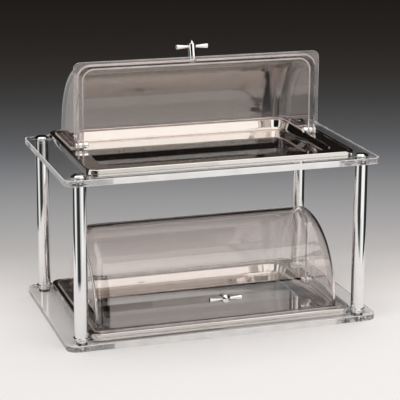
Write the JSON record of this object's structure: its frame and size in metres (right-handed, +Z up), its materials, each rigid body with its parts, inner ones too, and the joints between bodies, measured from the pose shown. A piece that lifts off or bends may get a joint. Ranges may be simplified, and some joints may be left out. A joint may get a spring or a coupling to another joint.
{
  "type": "countertop bread display bin",
  "caption": "Two-tier countertop bread display: clear plates on chromed columns, polished steel trays and clear roll-top covers.",
  "frame": {"origin": "on the table, under the middle of the stand", "axes": "+Z up; +Y to the back; +X to the right seen from the front, the side that the covers open towards"},
  "size_m": [0.62, 0.38, 0.5363],
  "materials": {
    "clear_plate": "clear cast acrylic with polished edges",
    "clear_cover": "clear moulded polycarbonate",
    "chrome": "bright chrome plate",
    "mirror_steel": "mirror-polished stainless steel",
    "rubber": "matt black rubber",
    "gasket": "translucent soft plastic"
  },
  "bodies": {
    "stand": {"lower_plate": "clear_plate", "upper_plate": "clear_plate", "front_left_column": "chrome", "front_right_column": "chrome", "rear_left_column": "chrome", "rear_right_column": "chrome", "column_base_sockets": "chrome", "column_top_plugs": "chrome", "column_cap_screws": "chrome", "foot_screws": "chrome", "foot_pads": "rubber"},
    "lower_tray_unit": {"lower_tray": "mirror_steel", "lower_rear_cover": "clear_cover", "lower_pivot_bolts": "chrome", "lower_pivot_spacers": "chrome", "lower_pivot_nuts": "chrome"},
    "lower_front": {"lower_front_cover": "clear_cover", "lower_handle_gasket": "gasket", "lower_handle_post": "chrome", "lower_handle_arms": "chrome", "lower_handle_washer": "chrome", "lower_handle_screw": "chrome"},
    "upper_tray_unit": {"upper_tray": "mirror_steel", "upper_rear_cover": "clear_cover", "upper_pivot_bolts": "chrome", "upper_pivot_spacers": "chrome", "upper_pivot_nuts": "chrome"},
    "upper_front": {"upper_front_cover": "clear_cover", "upper_handle_gasket": "gasket", "upper_handle_post": "chrome", "upper_handle_arms": "chrome", "upper_handle_washer": "chrome", "upper_handle_screw": "chrome"}
  },
  "joints": [
    {"name": "lower_tray_lift", "type": "slide", "parent": "stand", "child": "lower_tray_unit", "axis": [0, 0, 1], "range_m": [0, 0.04]},
    {"name": "lower_cover_swing", "type": "hinge", "parent": "lower_tray_unit", "child": "lower_front", "pos_m": [0, 0, 0.034], "axis": [-1, 0, 0], "range_deg": [0, 90]},
    {"name": "upper_tray_lift", "type": "slide", "parent": "stand", "child": "upper_tray_unit", "axis": [0, 0, 1], "range_m": [0, 0.04]},
    {"name": "upper_cover_swing", "type": "hinge", "parent": "upper_tray_unit", "child": "upper_front", "pos_m": [0, 0, 0.35], "axis": [1, 0, 0], "range_deg": [0, 90]}
  ]
}
